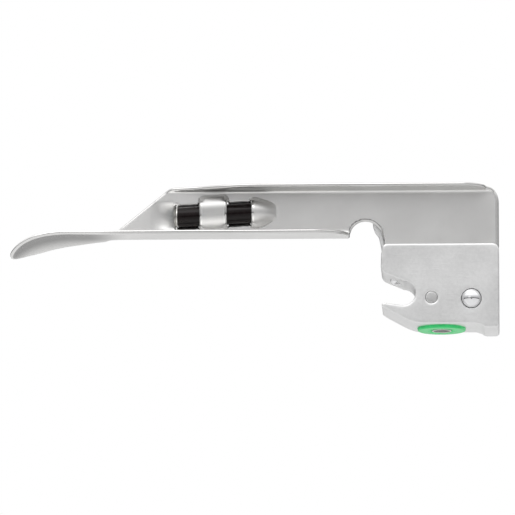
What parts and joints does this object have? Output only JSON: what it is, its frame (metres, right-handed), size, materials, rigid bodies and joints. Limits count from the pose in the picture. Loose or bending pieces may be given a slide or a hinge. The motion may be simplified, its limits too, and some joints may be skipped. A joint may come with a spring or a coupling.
{
  "type": "laryngoscope blade",
  "caption": "Straight laryngoscope blade with a hook-on heel block, pressed light guide holder, coloured light inlet and sprung retaining balls.",
  "frame": {"origin": "axis of the hook that takes the handle's hinge pin, at the middle of the block's width", "axes": "-X towards the blade tip, +Z from the heel block up to the blade's flange, -Y towards the open side of the channel, Y along the hinge pin"},
  "size_m": [0.1014, 0.0153, 0.0313],
  "materials": {
    "blade_steel": "satin stainless steel sheet, fine bead-blasted grain, polished edges",
    "block_steel": "pale matte tumbled stainless steel with faint machining marks",
    "braze": "smooth silver braze",
    "green_ring": "bright green moulded plastic",
    "sleeve_steel": "turned stainless steel",
    "seal_rubber": "black rubber",
    "black_sheath": "glossy black tube with a brown cast",
    "fibre_glass": "bundled glass fibres",
    "dark_glass": "polished fibre end, dark when unlit",
    "lens_glass": "polished fibre end",
    "pin_steel": "ground steel pin end",
    "ball_chrome": "polished bearing steel",
    "spring_steel": "drawn spring wire"
  },
  "bodies": {
    "blade": {"blade_shell": "blade_steel", "heel_block": "block_steel", "braze_fillet": "braze", "colour_ring": "green_ring", "ferrule_sleeve": "sleeve_steel", "seal_ring": "seal_rubber", "guide_sheath": "black_sheath", "fibre_core": "fibre_glass", "inlet_window": "dark_glass", "outlet_ferrule": "sleeve_steel", "outlet_lens": "lens_glass", "retaining_pin": "pin_steel", "side_spring_front": "spring_steel", "side_spring_back": "spring_steel", "hook_spring": "spring_steel"},
    "front_ball": {"side_ball_front": "ball_chrome"},
    "back_ball": {"side_ball_back": "ball_chrome"},
    "detent_ball": {"hook_ball": "ball_chrome"}
  },
  "joints": [
    {"name": "front_ball_travel", "type": "slide", "parent": "blade", "child": "front_ball", "axis": [0, 1, 0], "range_m": [0, 0.001], "stiffness_N_per_m": 300, "springref_m": -0.0008, "deforming": ["side_spring_front"]},
    {"name": "back_ball_travel", "type": "slide", "parent": "blade", "child": "back_ball", "axis": [0, -1, 0], "range_m": [0, 0.001], "stiffness_N_per_m": 300, "springref_m": -0.0008, "deforming": ["side_spring_back"]},
    {"name": "detent_ball_travel", "type": "slide", "parent": "blade", "child": "detent_ball", "axis": [0, 0, 1], "range_m": [0, 0.0006], "stiffness_N_per_m": 150, "springref_m": -0.0006, "deforming": ["hook_spring"]}
  ]
}
